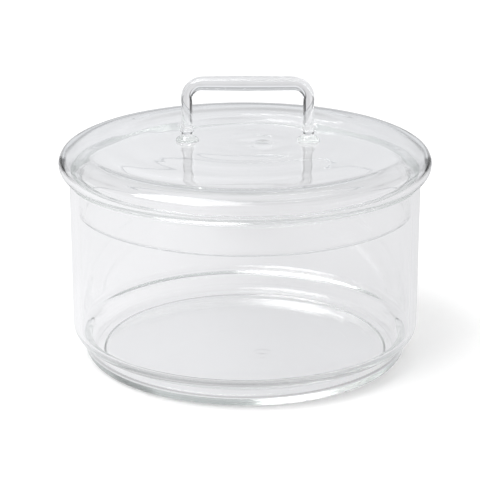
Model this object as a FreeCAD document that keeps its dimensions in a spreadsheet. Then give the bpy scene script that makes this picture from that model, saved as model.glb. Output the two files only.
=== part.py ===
import FreeCAD, Part
import math
import os
import Sketcher

# A low round food jar of clear glass with its lid, in millimetres, +Z up.
# The origin is the middle of the ring that the jar stands on.
# The jar's foot is narrower than its body, so that it nests in the mouth of the jar below.
# The lid is one shell: its edge rolls over into a hollow flange that rests on the mouth,
# a skirt below the flange plugs the mouth, and a bent glass rod is fused on top.

document = FreeCAD.newDocument("StackingGlassJar")


class Length:
    """A size as a number and as the expression that binds it to the spreadsheet."""

    def __init__(self, number, text):
        self.number = number
        self.text = text

    def __add__(self, other):
        return Length(self.number + other.number, f"({self.text} + {other.text})")

    def __sub__(self, other):
        return Length(self.number - other.number, f"({self.text} - {other.text})")

    def __mul__(self, factor):
        return Length(self.number * factor, f"({self.text} * {factor})")


def make_sheet(rows):
    """Write name, size and meaning of each driving dimension, and return them as lengths."""
    sheet = document.addObject("Spreadsheet::Sheet", "Sizes")
    lengths = {}
    for row, (name, number, meaning) in enumerate(rows, start=1):
        sheet.set(f"A{row}", name)
        sheet.set(f"B{row}", str(number))
        sheet.set(f"C{row}", meaning)
        sheet.setAlias(f"B{row}", name)
        lengths[name] = Length(number, f"Sizes.{name}")
    document.recompute()
    return lengths


size = make_sheet([
    ("body_radius", 80.0, "outside of the jar's wall"),
    ("jar_height", 85.0, "ring that the jar stands on to its mouth"),
    ("wall", 3.4, "glass of the jar's wall, shoulder and foot"),
    ("floor", 3.2, "glass of the jar's floor"),
    ("foot_height", 10.0, "stacking foot, up to the shoulder"),
    ("nest_gap", 2.0, "between the foot and the mouth that it nests in"),
    ("foot_corner", 5.0, "round of the foot's lower edge"),
    ("floor_corner", 3.0, "round between the floor and the foot's inside"),
    ("stand_width", 3.6, "flat ring that the jar stands on"),
    ("push_up", 0.8, "hollow of the underside inside that ring"),
    ("lip_round", 1.2, "fire-polished edges of the mouth"),
    ("lid_wall", 2.6, "glass of the lid"),
    ("plug_gap", 0.7, "between the lid's skirt and the jar's mouth"),
    ("skirt_depth", 15.0, "skirt below the seat"),
    ("seat_round", 1.0, "fillet between the skirt and the seat"),
    ("edge_round", 6.4, "outer round of the lid's hollow flange"),
    ("overhang", 4.7, "flange outside the jar's wall"),
    ("crown", 2.5, "rise of the dome above the flange"),
    ("handle_span", 55.0, "between the axes of the handle's legs"),
    ("handle_height", 29.7, "dome's top to the handle's top"),
    ("bend_radius", 7.0, "handle's corners, at the middle of the rod"),
    ("leg_radius", 2.55, "rod at the handle's legs"),
    ("bar_radius", 3.45, "rod at the middle of the handle's bar"),
    ("bar_end_radius", 3.2, "rod where the bar starts to bend"),
    ("collar_radius", 5.0, "flared foot of a leg"),
    ("collar_edge", 0.7, "height of the flared foot's rim above the dome"),
    ("flare_round", 2.6, "hollow of the flare between the rim and the waist"),
    ("waist_height", 3.0, "dome to the waist of the collar"),
    ("ring_height", 2.2, "ring of glass above the waist"),
    ("ring_round", 1.3, "round of that ring"),
])
zero = Length(0.0, "0")


def origin_plane(body, role):
    """The body's own origin plane with this role."""
    for feature in body.Origin.OriginFeatures:
        if feature.Role == role:
            return feature
    raise ValueError(f"no origin plane {role}")


def new_body(name):
    """An empty body whose label names its node and its file."""
    body = document.addObject("PartDesign::Body", name)
    body.Label = name
    return body


def new_sketch(body, name, role):
    """A sketch on one of the body's origin planes."""
    sketch = body.newObject("Sketcher::SketchObject", name)
    sketch.AttachmentSupport = [(origin_plane(body, role), "")]
    sketch.MapMode = "FlatFace"
    return sketch


def bind(sketch, kind, name, length, *where):
    """Add a named dimension and bind it to the sheet."""
    index = sketch.addConstraint(Sketcher.Constraint(kind, *where, length.number))
    sketch.renameConstraint(index, name)
    sketch.setExpression(f"Constraints.{name}", length.text)


def place(sketch, name, end, across, up):
    """Hold one end of a line or arc at two bound distances from the origin."""
    if across.number == 0:
        sketch.addConstraint(Sketcher.Constraint("PointOnObject", *end, -2))
    else:
        bind(sketch, "DistanceX", f"{name}_across", across, -1, 1, *end)
    if up.number == 0:
        sketch.addConstraint(Sketcher.Constraint("PointOnObject", *end, -1))
    else:
        bind(sketch, "DistanceY", f"{name}_up", up, -1, 1, *end)


def arc_shape(start, end, radius, turn):
    """The shorter arc from start to end: turn is +1 anticlockwise and -1 clockwise."""
    chord = end - start
    height = math.sqrt(max(radius ** 2 - (chord.Length / 2) ** 2, 0.0))
    side = FreeCAD.Vector(-chord.y, chord.x, 0).normalize() * height * turn
    centre = start + chord * 0.5 + side
    first, last = (start, end) if turn > 0 else (end, start)
    angles = [math.atan2(point.y - centre.y, point.x - centre.x) for point in (first, last)]
    return Part.ArcOfCircle(Part.Circle(centre, FreeCAD.Vector(0, 0, 1), radius), *angles)


def draw(sketch, start, steps, smooth=(), closed=True):
    """Draw an outline. A step is a name, the point that it runs to, and for an arc its radius
    and turn. Points and radii given as lengths are bound; plain numbers are left to the
    constraints added later. The joint after each step named in smooth is made tangent.
    Returns for each name the element and the ends where it starts and stops."""
    drawn = {}
    here = FreeCAD.Vector(*[number(value) for value in start], 0)
    for name, point, *bow in steps:
        there = FreeCAD.Vector(*[number(value) for value in point], 0)
        if bow:
            shape = arc_shape(here, there, number(bow[0]), bow[1])
            ends = (1, 2) if bow[1] > 0 else (2, 1)
        else:
            shape = Part.LineSegment(here, there)
            ends = (1, 2)
        drawn[name] = (sketch.addGeometry(shape, False), *ends)
        here = there
    names = list(drawn)
    followers = names[1:] + names[:1] if closed else names[1:]
    for name, following in zip(names, followers):
        element, _, last = drawn[name]
        after, first, _ = drawn[following]
        kind = "Tangent" if name in smooth else "Coincident"
        sketch.addConstraint(Sketcher.Constraint(kind, element, last, after, first))
    if not closed:
        element, first, _ = drawn[names[0]]
        place(sketch, "start", (element, first), *start)
    for name, point, *bow in steps:
        element, _, last = drawn[name]
        if isinstance(point[0], Length):
            place(sketch, name, (element, last), *point)
        if bow and isinstance(bow[0], Length):
            bind(sketch, "Radius", f"{name}_radius", bow[0], element)
    return drawn


def number(value):
    """The plain number of a length or of a number."""
    return value.number if isinstance(value, Length) else value


def revolve(body, name, sketch, axis):
    """Turn a closed outline once round an axis of its own sketch."""
    feature = body.newObject("PartDesign::Revolution", name)
    feature.Profile = sketch
    feature.ReferenceAxis = (sketch, [axis])
    feature.Angle = 360
    return feature


def make_jar():
    """The open jar: foot, step, straight wall and rounded lip as one revolved outline."""
    body_radius = size["body_radius"]
    wall = size["wall"]
    bore = body_radius - wall
    foot = bore - size["nest_gap"]
    step = body_radius - foot
    shoulder_top = size["foot_height"] + step
    foot_flat = foot - size["foot_corner"]
    hollow = foot_flat - size["stand_width"]
    lip = size["jar_height"] - size["lip_round"]
    foot_inside = foot - wall
    floor_flat = foot_inside - size["floor_corner"]
    floor_corner_top = size["floor"] + size["floor_corner"]

    body = new_body("jar")
    sketch = new_sketch(body, "JarOutline", "XZ_Plane")
    draw(sketch, (zero, size["push_up"]), [
        ("underside", (hollow - size["push_up"], size["push_up"])),
        ("rise", (hollow, zero)),
        ("stand", (foot_flat, zero)),
        ("foot_edge", (foot, size["foot_corner"]), size["foot_corner"], 1),
        ("foot_wall", (foot, size["foot_height"])),
        ("shoulder", (body_radius, shoulder_top), step, 1),
        ("outside", (body_radius, lip)),
        ("lip_outside", (body_radius - size["lip_round"], size["jar_height"]), size["lip_round"], 1),
        ("lip_top", (bore + size["lip_round"], size["jar_height"])),
        ("lip_inside", (bore, lip), size["lip_round"], 1),
        ("inside", (bore, shoulder_top)),
        ("inner_shoulder", (foot, size["foot_height"] + wall), step - wall, -1),
        ("inner_step", (foot_inside, size["foot_height"]), wall, 1),
        ("foot_inside", (foot_inside, floor_corner_top)),
        ("floor_edge", (floor_flat, size["floor"]), size["floor_corner"], -1),
        ("floor", (zero, size["floor"])),
        ("axis", (zero, size["push_up"])),
    ])
    revolve(body, "JarGlass", sketch, "V_Axis")
    return body


def make_lid_shell(body):
    """Dome, rolled-over hollow edge and skirt: one wall of glass, open below."""
    lid_wall = size["lid_wall"]
    skirt = size["body_radius"] - size["wall"] - size["plug_gap"]
    skirt_inside = skirt - lid_wall
    skirt_middle = skirt - lid_wall * 0.5
    skirt_end = lid_wall * 0.5
    seat = size["skirt_depth"]
    seat_start = skirt + size["seat_round"]
    fillet_start = seat - size["seat_round"]
    edge = size["body_radius"] + size["overhang"] - size["edge_round"]
    edge_up = seat + size["edge_round"]
    inner_round = size["edge_round"] - lid_wall
    dome_top = lid_top()

    # The dome's arc touches the edge's arc from outside, with its centre on the axis.
    rise = dome_top.number - edge_up.number
    dome_radius = (edge.number ** 2 + rise ** 2 - size["edge_round"].number ** 2)
    dome_radius /= 2 * (rise - size["edge_round"].number)
    lean = math.asin(edge.number / (dome_radius - size["edge_round"].number))

    def touch(radius):
        """Where the dome meets an arc of this radius round the edge's centre."""
        return edge.number + radius * math.sin(lean), edge_up.number + radius * math.cos(lean)

    sketch = new_sketch(body, "LidOutline", "XZ_Plane")
    drawn = draw(sketch, (skirt_middle, zero), [
        ("skirt_end_outside", (skirt, skirt_end), skirt_end, 1),
        ("skirt_outside", (skirt, fillet_start)),
        ("seat_fillet", (seat_start, seat), size["seat_round"], -1),
        ("seat", (edge, seat)),
        ("edge", touch(size["edge_round"].number), size["edge_round"], 1),
        ("dome", (zero, dome_top), dome_radius, 1),
        ("axis", (0.0, dome_top.number - lid_wall.number)),
        ("inner_dome", touch(inner_round.number), dome_radius - lid_wall.number, -1),
        ("inner_edge", (edge, seat + lid_wall), inner_round, -1),
        ("flange_floor", (seat_start, seat + lid_wall)),
        ("flange_corner", (skirt_inside, fillet_start), size["seat_round"] + lid_wall, 1),
        ("skirt_inside", (skirt_inside, skirt_end)),
        ("skirt_end_inside", (skirt_middle, zero), skirt_end, 1),
    ], smooth=("seat", "edge", "inner_dome", "inner_edge"))
    dome = drawn["dome"][0]
    inner_dome = drawn["inner_dome"][0]
    sketch.addConstraint(Sketcher.Constraint("PointOnObject", dome, 3, -2))
    sketch.addConstraint(Sketcher.Constraint("Coincident", inner_dome, 3, dome, 3))
    sketch.addConstraint(Sketcher.Constraint("Vertical", drawn["axis"][0]))
    return revolve(body, "LidGlass", sketch, "V_Axis")


def lid_top():
    """Top of the dome above the skirt's end."""
    return size["skirt_depth"] + size["edge_round"] * 2 + size["crown"]


def new_section(body, name, role, lift, across, up, radius):
    """A circle of the rod, on a plane lifted off one of the body's origin planes."""
    sketch = new_sketch(body, name, role)
    sketch.setExpression("AttachmentOffset.Base.z", lift.text)
    middle = FreeCAD.Vector(across.number, up.number, 0)
    circle = sketch.addGeometry(Part.Circle(middle, FreeCAD.Vector(0, 0, 1), radius.number), False)
    place(sketch, "middle", (circle, 3), across, up)
    bind(sketch, "Radius", "radius", radius, circle)
    return sketch


def make_handle(body, root, leg_axis):
    """Half of the bent rod: the bar, its corner and the leg, each stretch tapering to the next."""
    bar_up = lid_top() + size["handle_height"] - size["bar_radius"]
    bend = size["bend_radius"]
    bar_end = leg_axis - bend
    route = new_sketch(body, "HandleRoute", "XZ_Plane")
    draw(route, (zero, bar_up), [
        ("bar", (bar_end, bar_up)),
        ("corner", (leg_axis, bar_up - bend), bend, -1),
        ("leg", (leg_axis, root)),
    ], closed=False)
    sections = [
        new_section(body, "BarMiddle", "YZ_Plane", zero, zero, bar_up, size["bar_radius"]),
        new_section(body, "BarEnd", "YZ_Plane", bar_end, zero, bar_up, size["bar_end_radius"]),
        new_section(body, "LegTop", "XY_Plane", bar_up - bend, leg_axis, zero, size["leg_radius"]),
        new_section(body, "LegEnd", "XY_Plane", root, leg_axis, zero, size["leg_radius"]),
    ]
    stretches = []
    for index, name in enumerate(["HandleBar", "HandleCorner", "HandleLeg"]):
        stretch = body.newObject("PartDesign::AdditivePipe", name)
        stretch.Profile = sections[index]
        stretch.Spine = (route, [f"Edge{index + 1}"])
        stretch.Sections = [sections[index + 1]]
        stretch.Transformation = "Multisection"
        stretches.append(stretch)
    return stretches


def make_collar(body, root, leg_axis):
    """The pressed foot of a leg: flared rim, waist and a ring of glass above it."""
    rim = leg_axis + size["collar_radius"]
    leg_side = leg_axis + size["leg_radius"]
    edge = size["collar_edge"]
    waist_up = lid_top() + size["waist_height"]
    ring_top = waist_up + size["ring_height"]
    sketch = new_sketch(body, "CollarOutline", "XZ_Plane")
    drawn = draw(sketch, (leg_axis, root), [
        ("base", (rim, root)),
        ("rim", (rim, lid_top())),
        ("rim_round", (rim - edge, lid_top() + edge), edge, 1),
        ("flare", (leg_side, waist_up), size["flare_round"], -1),
        ("ring", (leg_side, ring_top), size["ring_round"], 1),
        ("top", (leg_axis, ring_top)),
        ("axis", (leg_axis, root)),
    ])
    ends = [FreeCAD.Vector(leg_axis.number, up.number, 0) for up in (root, ring_top)]
    line = sketch.addGeometry(Part.LineSegment(*ends), True)
    element, first, last = drawn["axis"]
    sketch.addConstraint(Sketcher.Constraint("Coincident", line, 1, element, last))
    sketch.addConstraint(Sketcher.Constraint("Coincident", line, 2, element, first))
    return revolve(body, "Collar", sketch, "Axis0")


def make_lid():
    """The lid with its handle, built above the end of its skirt and set on the jar's mouth."""
    body = new_body("lid")
    make_lid_shell(body)
    root = lid_top() - size["lid_wall"] * 0.5
    leg_axis = size["handle_span"] * 0.5
    stretches = make_handle(body, root, leg_axis)
    collar = make_collar(body, root, leg_axis)
    other_side = body.newObject("PartDesign::Mirrored", "OtherSide")
    other_side.Originals = stretches + [collar]
    other_side.MirrorPlane = (origin_plane(body, "YZ_Plane"), [""])
    body.Tip = other_side
    body.setExpression("Placement.Base.z", (size["jar_height"] - size["skirt_depth"]).text)
    return body


def check(bodies):
    """Stop if anything failed to build or a sketch is not fully constrained."""
    for item in document.Objects:
        if "Invalid" in item.State or "Error" in item.State:
            raise RuntimeError(f"{item.Label} failed: {item.State}")
        if item.TypeId == "Sketcher::SketchObject" and not item.FullyConstrained:
            raise RuntimeError(f"{item.Label} is not fully constrained")
    for body in bodies:
        if body.Shape.isNull() or not body.Shape.isValid() or len(body.Shape.Solids) != 1:
            raise RuntimeError(f"{body.Label} is not one valid solid")


bodies = [make_jar(), make_lid()]
document.recompute()
check(bodies)
os.makedirs("parts", exist_ok=True)
for body in bodies:
    body.Shape.exportStep(f"parts/{body.Label}.step")
    print(f"{body.Label}: {body.Shape.Volume / 1000:.1f} cubic centimetres")
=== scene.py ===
import bpy, bmesh, math
from mathutils import Matrix, Vector, noise


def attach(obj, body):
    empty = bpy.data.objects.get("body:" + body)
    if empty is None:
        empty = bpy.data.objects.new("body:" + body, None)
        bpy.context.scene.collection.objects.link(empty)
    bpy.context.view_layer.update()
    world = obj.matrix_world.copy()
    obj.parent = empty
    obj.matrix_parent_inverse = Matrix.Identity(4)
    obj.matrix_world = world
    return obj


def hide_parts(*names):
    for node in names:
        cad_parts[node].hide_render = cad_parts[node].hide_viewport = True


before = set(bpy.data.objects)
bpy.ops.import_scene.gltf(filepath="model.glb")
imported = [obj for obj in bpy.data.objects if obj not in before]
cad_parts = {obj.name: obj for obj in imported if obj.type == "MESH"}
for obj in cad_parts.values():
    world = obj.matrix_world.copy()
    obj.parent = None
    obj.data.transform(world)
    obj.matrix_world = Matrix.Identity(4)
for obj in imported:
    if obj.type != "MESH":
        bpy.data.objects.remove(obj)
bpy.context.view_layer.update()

# A low round food jar of clear glass and its plug-in lid with a bent rod handle.
# Metres, +Z up, origin in the middle of the ring that the jar stands on.

weldDistance = 1e-6


def beginOutline(radius, height):
    mesh = bmesh.new()
    return mesh, mesh.verts.new((radius, 0.0, height))


def runTo(mesh, vertex, radius, height):
    # straight run of the outline
    last = bmesh.ops.extrude_vert_indiv(mesh, verts=[vertex])["verts"][0]
    last.co = (radius, 0.0, height)
    return last


def turnAbout(mesh, vertex, radius, height, degrees, steps):
    # round of the outline: positive degrees turn clockwise, seen with the axis on the left
    made = bmesh.ops.spin(mesh, geom=[vertex], cent=(radius, 0.0, height), axis=(0, 1, 0),
                          angle=math.radians(degrees), steps=steps)
    return [part for part in made["geom_last"] if isinstance(part, bmesh.types.BMVert)][0]


def spinOutline(mesh, spacing, steps):
    # the long runs are divided first, so that the glass can ripple
    long = [edge for edge in mesh.edges if edge.calc_length() > spacing]
    while long:
        bmesh.ops.subdivide_edges(mesh, edges=long, cuts=1)
        long = [edge for edge in mesh.edges if edge.calc_length() > spacing]
    bmesh.ops.spin(mesh, geom=mesh.verts[:] + mesh.edges[:], cent=(0, 0, 0), axis=(0, 0, 1),
                   angle=math.tau / 4, steps=steps // 4)
    bmesh.ops.remove_doubles(mesh, verts=mesh.verts, dist=weldDistance)
    for axis in ("X", "Y"):
        bmesh.ops.mirror(mesh, geom=mesh.verts[:] + mesh.edges[:] + mesh.faces[:],
                         merge_dist=weldDistance, axis=axis)
    bmesh.ops.recalc_face_normals(mesh, faces=mesh.faces)


def growLoop(mesh, loop):
    # a new ring of vertices and edges, joined to the loop by a band of faces
    grown = bmesh.ops.extrude_edge_only(mesh, edges=loop)["geom"]
    verts = [part for part in grown if isinstance(part, bmesh.types.BMVert)]
    return verts, [part for part in grown if isinstance(part, bmesh.types.BMEdge)]


def makePiece(name, mesh, material):
    for face in mesh.faces:
        face.smooth = True
    data = bpy.data.meshes.new(name)
    mesh.to_mesh(data)
    mesh.free()
    data.materials.append(material)
    piece = bpy.data.objects.new(name, data)
    bpy.context.scene.collection.objects.link(piece)
    return piece


def addNode(tree, kind, **settings):
    node = tree.nodes.new(kind)
    for key, value in settings.items():
        if key in node.inputs:
            node.inputs[key].default_value = value
        else:
            setattr(node, key, value)
    return node


glassLook = {
    "ior": 1.473,
    "roughness": 0.0,
    "tint": (0.88, 0.915, 0.89, 1.0),
    "density": 7.0,
}


def makeGlass(name, waves):
    material = bpy.data.materials.new(name)
    material.use_nodes = True
    tree = material.node_tree
    tree.nodes.clear()
    output = addNode(tree, "ShaderNodeOutputMaterial")
    shader = addNode(tree, "ShaderNodeBsdfPrincipled")
    shader.inputs["Base Color"].default_value = (1.0, 1.0, 1.0, 1.0)
    shader.inputs["Transmission Weight"].default_value = 1.0
    shader.inputs["IOR"].default_value = glassLook["ior"]
    shader.inputs["Roughness"].default_value = glassLook["roughness"]
    tree.links.new(shader.outputs["BSDF"], output.inputs["Surface"])
    absorption = addNode(tree, "ShaderNodeVolumeAbsorption")
    absorption.inputs["Color"].default_value = glassLook["tint"]
    absorption.inputs["Density"].default_value = glassLook["density"]
    tree.links.new(absorption.outputs["Volume"], output.inputs["Volume"])
    place = addNode(tree, "ShaderNodeTexCoord")
    ripple = addNode(tree, "ShaderNodeTexNoise")
    ripple.inputs["Scale"].default_value = waves["scale"]
    ripple.inputs["Detail"].default_value = 1.0
    tree.links.new(place.outputs["Object"], ripple.inputs["Vector"])
    bump = addNode(tree, "ShaderNodeBump")
    bump.inputs["Strength"].default_value = 1.0
    bump.inputs["Distance"].default_value = waves["depth"]
    tree.links.new(ripple.outputs["Fac"], bump.inputs["Height"])
    tree.links.new(bump.outputs["Normal"], shader.inputs["Normal"])
    return material


jar = {
    "bodyRadius": 0.080, "height": 0.0849, "wall": 0.0034, "floor": 0.0032,
    "footHeight": 0.010, "footRadius": 0.0746, "footCorner": 0.005, "floorCorner": 0.003,
    "standWidth": 0.0036, "pushUp": 0.0008, "lipRound": 0.0012, "spotBand": 0.001,
    "spacing": 0.0016, "arcSteps": 9, "turnSteps": 288,
    "waves": {"scale": 14.0, "depth": 0.00003},
    "spot": {"middle": (0.008, -0.016), "reach": 0.012, "depth": 0.0001, "rings": 2.0},
}


def makeJar():
    body, foot, wall = jar["bodyRadius"], jar["footRadius"], jar["wall"]
    bore, step = body - wall, body - foot
    shoulderTop = jar["footHeight"] + step
    footFlat = foot - jar["footCorner"]
    hollow = footFlat - jar["standWidth"]
    footInside = foot - wall
    floorFlat = footInside - jar["floorCorner"]
    lip, lipRound = jar["height"] - jar["lipRound"], jar["lipRound"]
    steps = jar["arcSteps"]
    mesh, here = beginOutline(0.0, jar["pushUp"])
    here = runTo(mesh, here, hollow - jar["pushUp"], jar["pushUp"])
    here = runTo(mesh, here, hollow, 0.0)
    here = runTo(mesh, here, footFlat, 0.0)
    here = turnAbout(mesh, here, footFlat, jar["footCorner"], -90, steps)
    here = runTo(mesh, here, foot, jar["footHeight"])
    here = turnAbout(mesh, here, foot, shoulderTop, -90, steps)
    here = runTo(mesh, here, body, lip)
    here = turnAbout(mesh, here, body - lipRound, lip, -90, steps)
    here = runTo(mesh, here, bore + lipRound, jar["height"])
    here = turnAbout(mesh, here, bore + lipRound, lip, -90, steps)
    here = runTo(mesh, here, bore, shoulderTop)
    here = turnAbout(mesh, here, foot, shoulderTop, 90, steps)
    here = turnAbout(mesh, here, foot, jar["footHeight"], -90, steps)
    here = runTo(mesh, here, footInside, jar["floor"] + jar["floorCorner"])
    here = turnAbout(mesh, here, floorFlat, jar["floor"] + jar["floorCorner"], 90, steps)
    here = runTo(mesh, here, 0.0, jar["floor"])
    spinOutline(mesh, jar["spacing"], jar["turnSteps"])
    # the blowpipe's mark, only on the inside of the floor
    for vertex in mesh.verts:
        if jar["pushUp"] + jar["spotBand"] < vertex.co.z < jar["floor"] + jar["spotBand"]:
            vertex.co.z += spotRise(vertex.co, jar["spot"])
    return makePiece("jarGlass", mesh, makeGlass("clearJarGlass", jar["waves"]))


lid = {
    "wall": 0.0026, "skirtRadius": 0.0759, "skirtEnd": 0.070, "seat": 0.085,
    "seatRound": 0.001, "edgeRadius": 0.0783, "edgeRound": 0.0064, "top": 0.1003,
    "blendRadius": 0.018, "blendEnd": 30.0,
    "spacing": 0.0014, "arcSteps": 22, "turnSteps": 320,
    "waves": {"scale": 20.0, "depth": 0.00002},
    "ringWaves": 0.00012, "ringLength": 0.010, "ringOffset": 0.2, "ringRow": 3.0,
    "swell": 0.00016, "swellScale": 20.0, "sideApart": 0.01, "fade": 0.01,
    "spot": {"middle": (0.008, -0.004), "reach": 0.022, "depth": 0.00018, "rings": 1.5},
}
handle = {
    "span": 0.055, "shift": 0.0012, "top": 0.130, "bend": 0.007, "root": 0.0990,
    "legRadius": 0.00255, "barEndRadius": 0.0032, "barRadius": 0.00345,
    "around": 32, "stepsRound": 14, "stepsBar": 12, "legRings": 7, "legSpacing": 0.0015,
    "meet": 1e-5,
    # height and radius of each ring, from the dome up to the leg
    "collar": [(0.1003, 0.0050), (0.1010, 0.0050), (0.1013, 0.0047), (0.1018, 0.0038),
               (0.1026, 0.0030), (0.1033, 0.0026), (0.1037, 0.0029), (0.1042, 0.0031),
               (0.1047, 0.0031), (0.1051, 0.0029), (0.1055, 0.00256)],
}


def makeLidShell():
    wall, skirt, seat = lid["wall"], lid["skirtRadius"], lid["seat"]
    edge, edgeRound, seatRound = lid["edgeRadius"], lid["edgeRound"], lid["seatRound"]
    edgeHeight = seat + edgeRound
    blend, blendEnd = lid["blendRadius"], math.radians(lid["blendEnd"])
    blendAt = edge - (blend - edgeRound) * math.sin(blendEnd)
    blendHeight = edgeHeight - (blend - edgeRound) * math.cos(blendEnd)
    room = lid["top"] - blend
    centre = (room ** 2 - blendAt ** 2 - blendHeight ** 2) / (2 * (room - blendHeight))
    lean = math.degrees(math.atan2(blendAt, blendHeight - centre))
    turn = lid["blendEnd"] - lean
    skirtEnd = lid["skirtEnd"] + wall / 2
    domeSteps = round(edge / lid["spacing"])
    steps = lid["arcSteps"]
    mesh, here = beginOutline(0.0, lid["top"])
    here = turnAbout(mesh, here, 0.0, centre, lean, domeSteps)
    here = turnAbout(mesh, here, blendAt, blendHeight, turn, steps // 2)
    here = turnAbout(mesh, here, edge, edgeHeight, 180 - lid["blendEnd"], steps)
    here = runTo(mesh, here, skirt + seatRound, seat)
    here = turnAbout(mesh, here, skirt + seatRound, seat - seatRound, -90, steps // 4)
    here = runTo(mesh, here, skirt, skirtEnd)
    here = turnAbout(mesh, here, skirt - wall / 2, skirtEnd, 180, steps // 2)
    here = runTo(mesh, here, skirt - wall, seat - seatRound)
    here = turnAbout(mesh, here, skirt + seatRound, seat - seatRound, 90, steps // 3)
    here = runTo(mesh, here, edge, seat + wall)
    here = turnAbout(mesh, here, edge, edgeHeight, lid["blendEnd"] - 180, steps)
    here = turnAbout(mesh, here, blendAt, blendHeight, -turn, steps // 2)
    here = turnAbout(mesh, here, 0.0, centre, -lean, domeSteps)
    spinOutline(mesh, lid["spacing"], lid["turnSteps"])
    rippleDome(mesh, edgeHeight + wall)
    return mesh


def rippleDome(mesh, lowest):
    # the dome is not even: rings from the turning, a slow swell and a spot in the middle
    for vertex in mesh.verts:
        if vertex.co.z < lowest:
            continue
        radius = math.hypot(vertex.co.x, vertex.co.y)
        fade = min(1.0, max(0.0, (lid["edgeRadius"] - radius) / lid["fade"]))
        side = 1.0 if vertex.normal.z > 0 else -1.0
        place = Vector((vertex.co.x, vertex.co.y, lid["sideApart"] * side))
        drift = noise.noise(place * lid["swellScale"])
        rings = noise.noise(Vector((radius / lid["ringLength"],
                                    drift + lid["ringOffset"] * side, lid["ringRow"])))
        vertex.co.z += fade * (lid["ringWaves"] * rings + lid["swell"] * drift)
        vertex.co.z += spotRise(vertex.co, lid["spot"])


def spotRise(place, spot):
    away = math.hypot(place.x - spot["middle"][0], place.y - spot["middle"][1]) / spot["reach"]
    if away > 1.0:
        return 0.0
    return spot["depth"] * (1.0 - away) ** 2 * math.cos(math.tau * away * spot["rings"])


def makeHandle(mesh):
    legAxis = handle["span"] / 2
    barHeight = handle["top"] - handle["barRadius"]
    legTop = barHeight - handle["bend"]
    size = handle["collar"][0][1]
    made = bmesh.ops.create_circle(mesh, cap_ends=False, segments=handle["around"], radius=size,
                                   matrix=Matrix.Translation((legAxis, 0, handle["root"])))
    loop = list(dict.fromkeys(edge for vertex in made["verts"] for edge in vertex.link_edges))
    bottom = loop[:]
    collarTop = handle["collar"][-1][0]
    legHeights = [collarTop + handle["legSpacing"] * ring
                  for ring in range(1, handle["legRings"] + 1)] + [legTop]
    stations = handle["collar"] + [(height, handle["legRadius"]) for height in legHeights]
    centre = Vector((legAxis, 0, handle["root"]))
    for height, radius in stations:
        verts, loop = growLoop(mesh, loop)
        bmesh.ops.translate(mesh, verts=verts, vec=(0, 0, height - centre.z))
        centre.z = height
        bmesh.ops.scale(mesh, verts=verts, vec=(radius / size, radius / size, 1),
                        space=Matrix.Translation(-centre))
        size = radius
    corner = Vector((legAxis - handle["bend"], 0, legTop))
    growRound = (handle["barEndRadius"] / handle["legRadius"]) ** (1 / handle["stepsRound"])
    growBar = (handle["barRadius"] / handle["barEndRadius"]) ** (1 / handle["stepsBar"])
    angle = math.radians(90 / handle["stepsRound"])
    turned = 0.0
    for step in range(handle["stepsRound"]):
        verts, loop = growLoop(mesh, loop)
        bmesh.ops.rotate(mesh, verts=verts, cent=corner, matrix=Matrix.Rotation(-angle, 3, "Y"))
        turned += angle
        middle = corner + Vector((math.cos(turned), 0, math.sin(turned))) * handle["bend"]
        bmesh.ops.scale(mesh, verts=verts, vec=(growRound, growRound, growRound),
                        space=Matrix.Translation(-middle))
    run = legAxis - handle["bend"]
    middle = Vector((0, 0, barHeight))
    for step in range(handle["stepsBar"]):
        verts, loop = growLoop(mesh, loop)
        bmesh.ops.translate(mesh, verts=verts, vec=(-run / handle["stepsBar"], 0, 0))
        bmesh.ops.scale(mesh, verts=verts, vec=(1, growBar, growBar),
                        space=Matrix.Translation(-middle))
    bmesh.ops.edgeloop_fill(mesh, edges=bottom)
    bmesh.ops.mirror(mesh, geom=mesh.verts[:] + mesh.edges[:] + mesh.faces[:],
                     merge_dist=handle["meet"], axis="X")
    bmesh.ops.remove_doubles(mesh, verts=mesh.verts, dist=weldDistance)
    bmesh.ops.recalc_face_normals(mesh, faces=mesh.faces)
    bmesh.ops.translate(mesh, verts=mesh.verts, vec=(handle["shift"], 0, 0))


def makeLid():
    glass = makeGlass("clearLidGlass", lid["waves"])
    shell = makePiece("lidGlass", makeLidShell(), glass)
    rod = bmesh.new()
    makeHandle(rod)
    rodPiece = makePiece("rod", rod, glass)
    join = shell.modifiers.new("fuse", "BOOLEAN")
    join.operation = "UNION"
    join.object = rodPiece
    join.solver = "MANIFOLD"
    graph = bpy.context.evaluated_depsgraph_get()
    fused = bpy.data.meshes.new_from_object(shell.evaluated_get(graph), depsgraph=graph)
    shell.modifiers.clear()
    shell.data = fused
    bpy.data.objects.remove(rodPiece)
    for face in fused.polygons:
        face.use_smooth = True
    return shell


print("jar")
jarPiece = makeJar()
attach(jarPiece, "root")
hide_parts("jar")

print("lid")
lidPiece = makeLid()
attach(lidPiece, "root")
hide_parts("lid")

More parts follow.
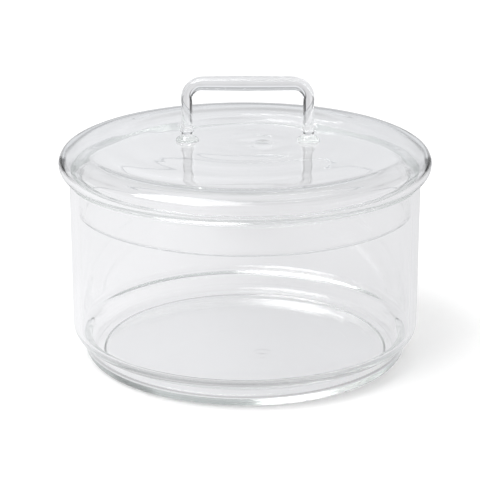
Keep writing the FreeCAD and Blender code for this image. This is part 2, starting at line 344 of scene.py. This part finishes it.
# a ramp is a list of (place, level) stops. Floor ramps run over 0 to 1 m, world ramps over the
# height of the ray's direction, the painted flags and turnToSide over how far to the side it lies.
# The levels differ by kind of ray: floor and world are white to the eye, while the glass sees
# painted reflections and refractions in them, white, grey and dark cards painted into their
# colour and laid out for the front view. Most of the sky's levels and bands, sheetSides and the
# floor's glow for the glass come from a least-squares fit to the photo, rounded, and weren't
# chosen by hand. sheetBack started from that fit.
studio = {
    "floorSize": 12.0,
    # painted shade: to the glass the floor is a glow of 0.77 with little diffuse colour, so it is
    # greyer than it is to the eye and shows little of its shadow
    "floorColour": {"seen": 0.70, "behindGlass": 0.06, "mirrored": 0.06, "other": 0.5},
    "floorGlow": {"behindGlass": 0.77, "mirrored": 0.77, "other": 0.0},
    # painted shade: the floor's glow to the eye is dimmer within 0.3 m of the jar than far off, so
    # the floor round the jar reads darker
    "seenGlowPaintedShadeNear": [(0.0, 0.32), (0.30, 0.32), (0.90, 0.42), (1.0, 0.42)],
    # painted shading of the floor as the glass sees it: dark bands at the sides behind the jar,
    # lighter in front and near the jar and darker far back, lighter to the left than to the right
    "sheetSides": [(0.0, 1.0), (0.24, 1.0), (0.29, 0.75), (0.33, 0.75), (0.37, 0.05), (0.5, 0.05),
                   (0.6, 0.8), (1.0, 0.8)],
    "sidesBehind": [(0.0, 0.15), (0.13, 0.15), (0.22, 1.0), (1.0, 1.0)],
    "sheetAcross": [(0.0, 1.06), (0.42, 1.06), (0.48, 1.01), (0.52, 0.94), (1.0, 0.94)],
    "sheetBack": [(0.0, 1.04), (0.06, 1.04), (0.09, 1.0), (0.20, 1.0), (0.40, 0.90),
                  (1.0, 0.86)],
    # painted dark reflection: a dark patch in the floor in front of the jar, seen only by the
    # glass, stands for the camera side
    "paintedCameraReflectionFront": [(0.0, 0.0), (0.30, 0.0), (0.38, 0.7), (1.0, 1.0)],
    "paintedCameraReflectionWidth": [(0.0, 1.0), (0.08, 1.0), (0.14, 0.3), (1.0, 0.3)],
    # painted contact shadow: a dark ring in the floor under the foot's standing ring, on the front
    # half only, seen in and through the glass
    "paintedContactShadow": [(0.0, 0.0), (0.069, 0.0), (0.072, 0.5), (0.0745, 0.5), (0.077, 0.1),
                (0.085, 0.0)],
    "paintedContactShadowFront": [(0.0, 0.05), (0.02, 1.0), (1.0, 1.0)],
    # painted black flags: dark bands to the sides, painted into the colour that the glass sees
    "paintedFlags": [(0.0, 0.0), (0.45, 0.0), (0.50, 0.85), (0.90, 0.85), (0.97, 0.0), (1.0, 0.0)],
    "paintedFlagReach": [(0.0, 0.0), (0.38, 0.0), (0.46, 1.0), (1.0, 1.0)],
    "paintedFlagHeight": [(0.0, 1.0), (0.45, 1.0), (0.55, 0.0), (1.0, 0.0)],
    "warm": (0.99, 0.99, 1.01), "cool": (0.97, 0.99, 1.02),
    # painted reflections and refractions in the sky: bands by height that only the glass sees,
    # with a bright band overhead in its reflections
    "turnToSide": [(0.0, 0.0), (0.38, 0.0), (0.62, 1.0), (1.0, 1.0)],
    "behindGlass": [(0.0, 0.85), (0.09, 0.85), (0.12, 0.55), (0.18, 0.5), (0.22, 0.5),
                    (0.33, 0.5), (0.37, 0.72), (0.48, 0.72), (0.53, 0.43), (0.67, 0.5),
                    (0.72, 0.9), (0.87, 0.9), (0.92, 0.5), (1.0, 0.5)],
    "besideGlass": [(0.0, 1.5), (0.09, 1.5), (0.12, 0.12), (0.18, 0.12), (0.22, 1.3),
                    (0.33, 1.3), (0.37, 0.33), (0.67, 0.28), (0.72, 0.74), (0.87, 0.74),
                    (0.92, 0.5), (1.0, 0.5)],
    "mirrored": [(0.0, 0.6), (0.09, 0.6), (0.12, 0.4), (0.18, 0.4), (0.22, 1.05), (0.33, 1.05),
                 (0.37, 0.78), (0.48, 0.78), (0.53, 0.95), (0.67, 0.95), (0.75, 0.7), (0.85, 0.7),
                 (0.92, 1.8), (1.0, 1.8)],
    "daylight": 0.85,
    "nearest": 0.001, "acrossMiddle": 0.5,
    "key": {"place": (-0.42, -0.30, 0.95), "aim": (0, 0, 0.05), "size": 0.8, "watts": 11.5},
}


def addMath(tree, operation, first, second=None):
    node = addNode(tree, "ShaderNodeMath", operation=operation)
    for socket, value in zip(node.inputs, (first, second)):
        if isinstance(value, float):
            socket.default_value = value
        elif value is not None:
            tree.links.new(value, socket)
    return node.outputs[0]


def addPaintedFlags(tree, x, y, reach):
    # painted black flags: two dark bands beside the white background, painted into the floor's and
    # the world's colour and seen only in and through the glass, darken the sides of every glass
    # edge
    slant = addMath(tree, "DIVIDE", addMath(tree, "ABSOLUTE", x),
                    addMath(tree, "MAXIMUM", y, studio["nearest"]))
    shade = addProduct(tree, addRamp(tree, slant, studio["paintedFlags"]), reach)
    return addMath(tree, "SUBTRACT", 1.0, shade)


def makeFloor():
    mesh = bmesh.new()
    bmesh.ops.create_grid(mesh, x_segments=1, y_segments=1, size=studio["floorSize"] / 2)
    material = bpy.data.materials.new("whiteFloor")
    material.use_nodes = True
    tree = material.node_tree
    tree.nodes.clear()
    output = addNode(tree, "ShaderNodeOutputMaterial")
    matt = addNode(tree, "ShaderNodeBsdfDiffuse")
    glow = addNode(tree, "ShaderNodeEmission")
    path = addNode(tree, "ShaderNodeLightPath")
    place = addNode(tree, "ShaderNodeTexCoord")
    split = addNode(tree, "ShaderNodeSeparateXYZ")
    tree.links.new(place.outputs["Object"], split.inputs[0])
    x, y = split.outputs["X"], split.outputs["Y"]
    length = addNode(tree, "ShaderNodeVectorMath", operation="LENGTH")
    tree.links.new(place.outputs["Object"], length.inputs[0])
    distance = length.outputs["Value"]
    # painted reflections and refractions: the floor that the glass sees gets dark bands at its
    # sides behind the jar and is darker far back
    aside = addMath(tree, "ABSOLUTE", x)
    sides = addRamp(tree, aside, studio["sheetSides"])
    sides = addProduct(tree, addMath(tree, "SUBTRACT", 1.0, sides),
                       addRamp(tree, y, studio["sidesBehind"]))
    sheet = addProduct(tree, addMath(tree, "SUBTRACT", 1.0, sides),
                       addRamp(tree, y, studio["sheetBack"]))
    forward = addMath(tree, "MULTIPLY", y, -1.0)
    # painted dark reflection of the camera side: the floor in front of the jar is darker to the
    # glass, most of all near the middle line
    paintedCameraReflection = addProduct(tree, addRamp(tree, forward, studio["paintedCameraReflectionFront"]),
                     addRamp(tree, aside, studio["paintedCameraReflectionWidth"]))
    sheet = addProduct(tree, sheet, addMath(tree, "SUBTRACT", 1.0, paintedCameraReflection))
    # painted shade: the floor that the glass sees is lighter to the left than to the right
    across = addMath(tree, "ADD", x, studio["acrossMiddle"])
    sheet = addProduct(tree, sheet, addRamp(tree, across, studio["sheetAcross"]))
    # painted contact shadow under the foot, front half only
    paintedContactShadow = addProduct(tree, addRamp(tree, distance, studio["paintedContactShadow"]),
                         addRamp(tree, forward, studio["paintedContactShadowFront"]))
    sheet = addProduct(tree, sheet, addMath(tree, "SUBTRACT", 1.0, paintedContactShadow))
    reach = addRamp(tree, distance, studio["paintedFlagReach"])
    sheet = addProduct(tree, sheet, addPaintedFlags(tree, x, y, reach))
    # painted shade round the jar: the glow that the eye sees rises with distance from the jar
    seenGlowPaintedShadeNear = addRamp(tree, distance, studio["seenGlowPaintedShadeNear"])
    for shader, levels, seen in ((matt, studio["floorColour"], studio["floorColour"]["seen"]),
                                 (glow, studio["floorGlow"], seenGlowPaintedShadeNear)):
        level = addChoice(tree, path.outputs["Is Glossy Ray"], levels["other"], levels["mirrored"])
        level = addChoice(tree, path.outputs["Is Transmission Ray"], level, levels["behindGlass"])
        level = addTint(tree, addProduct(tree, level, sheet), studio["warm"])
        level = addChoice(tree, path.outputs["Is Camera Ray"], level, seen)
        tree.links.new(level, shader.inputs["Color"])
    both = addNode(tree, "ShaderNodeAddShader")
    tree.links.new(matt.outputs[0], both.inputs[0])
    tree.links.new(glow.outputs[0], both.inputs[1])
    tree.links.new(both.outputs[0], output.inputs["Surface"])
    floor = makePiece("floor", mesh, material)


def addRamp(tree, source, levels):
    ramp = addNode(tree, "ShaderNodeValToRGB")
    tree.links.new(source, ramp.inputs["Fac"])
    stops = ramp.color_ramp.elements
    while len(stops) < len(levels):
        stops.new(0.5)
    for stop, (place, level) in zip(stops, levels):
        stop.position = place
        stop.color = (level, level, level, 1.0)
    return ramp.outputs["Color"]


def addProduct(tree, first, second):
    product = addNode(tree, "ShaderNodeMix", data_type="RGBA", blend_type="MULTIPLY")
    product.inputs[0].default_value = 1.0
    tree.links.new(first, product.inputs[6])
    tree.links.new(second, product.inputs[7])
    return product.outputs[2]


def addTint(tree, colour, tint):
    tinted = addNode(tree, "ShaderNodeMix", data_type="RGBA", blend_type="MULTIPLY")
    tinted.inputs[0].default_value = 1.0
    tree.links.new(colour, tinted.inputs[6])
    tinted.inputs[7].default_value = tint + (1.0,)
    return tinted.outputs[2]


def addChoice(tree, condition, otherwise, chosen):
    choice = addNode(tree, "ShaderNodeMix", data_type="RGBA")
    tree.links.new(condition, choice.inputs[0])
    for socket, value in ((choice.inputs[6], otherwise), (choice.inputs[7], chosen)):
        if isinstance(value, float):
            socket.default_value = (value, value, value, 1.0)
        else:
            tree.links.new(value, socket)
    return choice.outputs[2]


def makeWorld():
    world = bpy.data.worlds.new("studioRoom")
    bpy.context.scene.world = world
    world.use_nodes = True
    tree = world.node_tree
    tree.nodes.clear()
    output = addNode(tree, "ShaderNodeOutputWorld")
    sky = addNode(tree, "ShaderNodeBackground")
    place = addNode(tree, "ShaderNodeTexCoord")
    split = addNode(tree, "ShaderNodeSeparateXYZ")
    tree.links.new(place.outputs["Generated"], split.inputs[0])
    path = addNode(tree, "ShaderNodeLightPath")
    # painted reflections and refractions: the eye sees a white sky and diffuse light an even
    # daylight, but the glass sees painted bands by height, a bright band overhead in its
    # reflections, grey and dark bands and painted flags through it, all with a cool tint
    colour = addChoice(tree, path.outputs["Is Glossy Ray"], studio["daylight"],
                       addTint(tree, addRamp(tree, split.outputs["Z"], studio["mirrored"]),
                               studio["cool"]))
    x, y, z = split.outputs
    across, along = addMath(tree, "ABSOLUTE", x), addMath(tree, "ABSOLUTE", y)
    beside = addMath(tree, "DIVIDE", across, addMath(tree, "ADD", across, along))
    beside = addRamp(tree, beside, studio["turnToSide"])
    behind = addChoice(tree, beside, addRamp(tree, z, studio["behindGlass"]),
                       addRamp(tree, z, studio["besideGlass"]))
    # painted black flags in the sky as seen through the glass, faded out by height
    behind = addProduct(tree, behind, addPaintedFlags(tree, x, y, addRamp(tree, z, studio["paintedFlagHeight"])))
    colour = addChoice(tree, path.outputs["Is Transmission Ray"], colour,
                       addTint(tree, behind, studio["cool"]))
    colour = addChoice(tree, path.outputs["Is Camera Ray"], colour, 1.0)
    tree.links.new(colour, sky.inputs["Color"])
    tree.links.new(sky.outputs[0], output.inputs["Surface"])


def makeKey():
    lamp = bpy.data.lights.new("softbox", "AREA")
    lamp.size = studio["key"]["size"]
    lamp.energy = studio["key"]["watts"]
    holder = bpy.data.objects.new("softbox", lamp)
    holder.location = studio["key"]["place"]
    aim = Vector(studio["key"]["aim"]) - holder.location
    holder.rotation_euler = aim.to_track_quat("-Z", "Y").to_euler()
    bpy.context.scene.collection.objects.link(holder)


view = {"place": (-0.0023, -0.800, 0.3167), "down": 18.28, "lens": 136.7, "sensor": 36.0,
        "clip": 0.01}


def makeCamera():
    camera = bpy.data.cameras.new("camera")
    camera.lens = view["lens"]
    camera.sensor_width = view["sensor"]
    camera.clip_start = view["clip"]
    holder = bpy.data.objects.new("camera", camera)
    holder.location = view["place"]
    holder.rotation_euler = (math.radians(90 - view["down"]), 0, 0)
    bpy.context.scene.collection.objects.link(holder)
    bpy.context.scene.camera = holder


print("studio")
makeFloor()
makeWorld()
makeKey()
makeCamera()
scene = bpy.context.scene
scene.view_settings.view_transform = "Standard"
glassBounces = 72
scene.cycles.max_bounces = glassBounces
scene.cycles.transmission_bounces = glassBounces
scene.cycles.glossy_bounces = glassBounces
scene.cycles.diffuse_bounces = 3
scene.cycles.use_denoising = True
